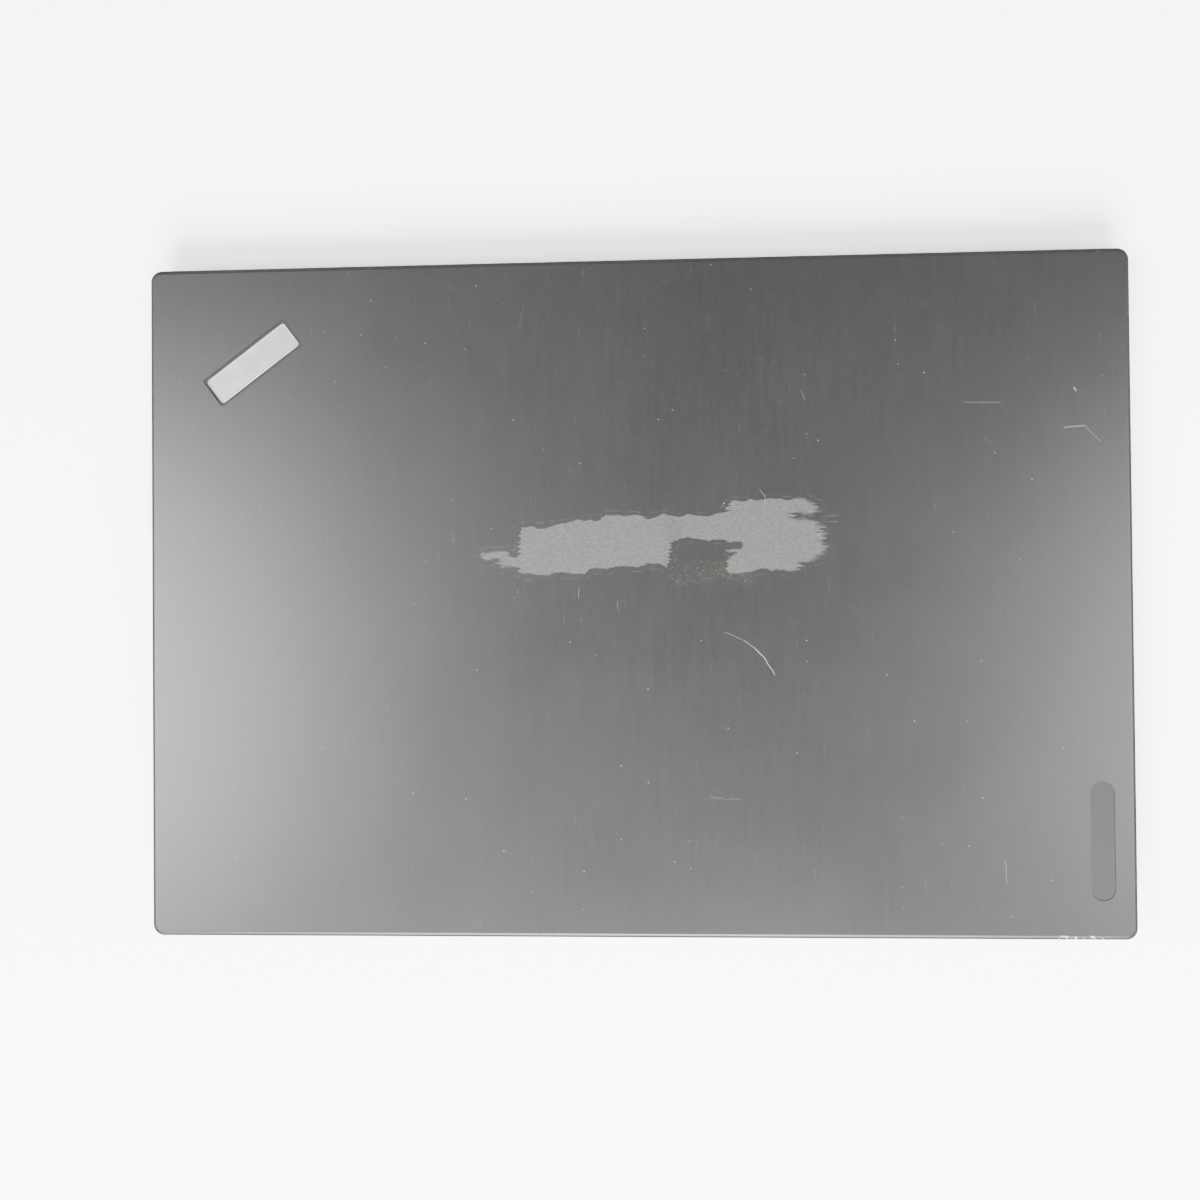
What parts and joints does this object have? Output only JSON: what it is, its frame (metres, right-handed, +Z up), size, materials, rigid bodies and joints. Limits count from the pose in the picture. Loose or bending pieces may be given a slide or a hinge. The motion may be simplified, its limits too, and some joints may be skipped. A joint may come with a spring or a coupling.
{
  "type": "laptop computer",
  "caption": "Slim black clamshell laptop computer with a soft-touch lid on two hinges, full keyboard, touchpad with buttons, pointing stick and side sockets.",
  "frame": {"origin": "centre of the closed computer's footprint, on the plane its rubber feet stand on", "axes": "+X to the user's right, +Y from the front edge to the hinge edge, +Z up, with the lid closed"},
  "size_m": [0.3366, 0.2326, 0.02],
  "materials": {
    "soft_touch_black": "soft-touch matte, worn",
    "shell_black": "fine-grained matte",
    "cover_alloy": "painted, fine-grained matte",
    "bezel_black": "matte",
    "key_black": "fine-grained matte",
    "lattice_black": "matte",
    "rubber_black": "matte",
    "stick_rubber": "fine-grained matte",
    "dome_silicone": "translucent matte",
    "screen_glass": "anti-glare satin",
    "pad_glass": "etched matte",
    "lens_glass": "gloss",
    "reader_black": "gloss",
    "badge_metal": "fine brushed",
    "light_guide": "satin",
    "sheet_metal": "satin",
    "hinge_steel": "dark plated",
    "pin_steel": "satin",
    "screw_dark": "black oxide",
    "screw_steel": "satin",
    "port_steel": "satin",
    "port_plastic": "matte",
    "board_green": "solder mask",
    "chip_black": "satin",
    "copper": "brushed",
    "fin_aluminium": "satin",
    "fan_plastic": "matte",
    "cell_foil": "film-wrapped, satin",
    "coin_steel": "satin",
    "antenna_foil": "satin",
    "cable_black": "matte"
  },
  "bodies": {
    "base": {"top_case": "shell_black", "bottom_cover": "cover_alloy", "bottom_screws": "screw_dark", "rubber_feet": "rubber_black", "keyboard_plate": "sheet_metal", "key_lattice": "lattice_black", "rubber_domes": "dome_silicone", "pointing_stick": "stick_rubber", "touchpad_bracket": "sheet_metal", "fingerprint_reader": "reader_black", "motherboard": "board_green", "processor": "chip_black", "heat_pipe": "copper", "heatsink_fins": "fin_aluminium", "fan_housing": "fan_plastic", "battery_pack": "cell_foil", "solid_state_drive": "board_green", "memory_module": "board_green", "wireless_card": "board_green", "coin_cell": "coin_steel", "speakers": "port_plastic", "hinge_bracket_left": "hinge_steel", "hinge_bracket_right": "hinge_steel", "inner_screws": "screw_steel", "usb_ports": "port_steel", "usb_c_ports": "port_steel", "hdmi_port": "port_steel", "ethernet_port": "port_plastic", "audio_jack": "port_plastic", "card_reader": "port_steel", "security_slot": "hinge_steel"},
    "lid": {"lid_cover": "soft_touch_black", "lid_badge": "badge_metal", "display_bezel": "bezel_black", "lcd_glass": "screen_glass", "lcd_backlight": "light_guide", "display_board": "board_green", "display_cable": "cable_black", "camera_module": "board_green", "camera_lens": "lens_glass", "wifi_antennas": "antenna_foil", "lid_bumpers": "rubber_black", "lid_screws": "screw_steel", "hinge_arm_left": "hinge_steel", "hinge_arm_right": "hinge_steel", "hinge_pins": "pin_steel"},
    "fan_rotor": {"fan_rotor": "fan_plastic"},
    "touchpad": {"touchpad": "pad_glass"},
    "left_button": {"left_button": "key_black"},
    "middle_button": {"middle_button": "key_black"},
    "right_button": {"right_button": "key_black"},
    "power_button": {"power_button": "key_black"},
    "function_keys": {"function_keys": "key_black"},
    "number_keys": {"number_keys": "key_black"},
    "upper_keys": {"upper_keys": "key_black"},
    "home_keys": {"home_keys": "key_black"},
    "lower_keys": {"lower_keys": "key_black"},
    "modifier_keys": {"modifier_keys": "key_black"},
    "space_bar": {"space_bar": "key_black"},
    "arrow_keys": {"arrow_keys": "key_black"}
  },
  "joints": [
    {"name": "lid_hinge", "type": "hinge", "parent": "base", "child": "lid", "pos_m": [0, 0.11325, 0.013], "axis": [-1, 0, 0], "range_deg": [0, 180]},
    {"name": "fan_spin", "type": "hinge", "parent": "base", "child": "fan_rotor", "pos_m": [-0.118, 0.055, 0.0053], "axis": [0, 0, 1], "continuous": true},
    {"name": "touchpad_click", "type": "hinge", "parent": "base", "child": "touchpad", "pos_m": [0, -0.05445, 0.0133], "axis": [1, 0, 0], "range_deg": [0, 0.6], "stiffness_Nm_per_rad": 8, "springref_deg": -0.23},
    {"name": "left_button_press", "type": "slide", "parent": "base", "child": "left_button", "axis": [0, 0, -1], "range_m": [0, 0.0008], "stiffness_N_per_m": 1000, "springref_m": -0.0003},
    {"name": "middle_button_press", "type": "slide", "parent": "base", "child": "middle_button", "axis": [0, 0, -1], "range_m": [0, 0.0008], "stiffness_N_per_m": 1000, "springref_m": -0.0003},
    {"name": "right_button_press", "type": "slide", "parent": "base", "child": "right_button", "axis": [0, 0, -1], "range_m": [0, 0.0008], "stiffness_N_per_m": 1000, "springref_m": -0.0003},
    {"name": "power_button_press", "type": "slide", "parent": "base", "child": "power_button", "axis": [0, 0, -1], "range_m": [0, 0.0005], "stiffness_N_per_m": 1500, "springref_m": -0.0003},
    {"name": "function_keys_press", "type": "slide", "parent": "base", "child": "function_keys", "axis": [0, 0, -1], "range_m": [0, 0.0014], "stiffness_N_per_m": 400, "springref_m": -0.0006, "deforming": ["rubber_domes"]},
    {"name": "number_keys_press", "type": "slide", "parent": "base", "child": "number_keys", "axis": [0, 0, -1], "range_m": [0, 0.0014], "stiffness_N_per_m": 400, "springref_m": -0.0006, "deforming": ["rubber_domes"]},
    {"name": "upper_keys_press", "type": "slide", "parent": "base", "child": "upper_keys", "axis": [0, 0, -1], "range_m": [0, 0.0014], "stiffness_N_per_m": 400, "springref_m": -0.0006, "deforming": ["rubber_domes"]},
    {"name": "home_keys_press", "type": "slide", "parent": "base", "child": "home_keys", "axis": [0, 0, -1], "range_m": [0, 0.0014], "stiffness_N_per_m": 400, "springref_m": -0.0006, "deforming": ["rubber_domes"]},
    {"name": "lower_keys_press", "type": "slide", "parent": "base", "child": "lower_keys", "axis": [0, 0, -1], "range_m": [0, 0.0014], "stiffness_N_per_m": 400, "springref_m": -0.0006, "deforming": ["rubber_domes"]},
    {"name": "modifier_keys_press", "type": "slide", "parent": "base", "child": "modifier_keys", "axis": [0, 0, -1], "range_m": [0, 0.0014], "stiffness_N_per_m": 400, "springref_m": -0.0006, "deforming": ["rubber_domes"]},
    {"name": "space_bar_press", "type": "slide", "parent": "base", "child": "space_bar", "axis": [0, 0, -1], "range_m": [0, 0.0014], "stiffness_N_per_m": 400, "springref_m": -0.0006, "deforming": ["rubber_domes"]},
    {"name": "arrow_keys_press", "type": "slide", "parent": "base", "child": "arrow_keys", "axis": [0, 0, -1], "range_m": [0, 0.0014], "stiffness_N_per_m": 400, "springref_m": -0.0006, "deforming": ["rubber_domes"]}
  ]
}
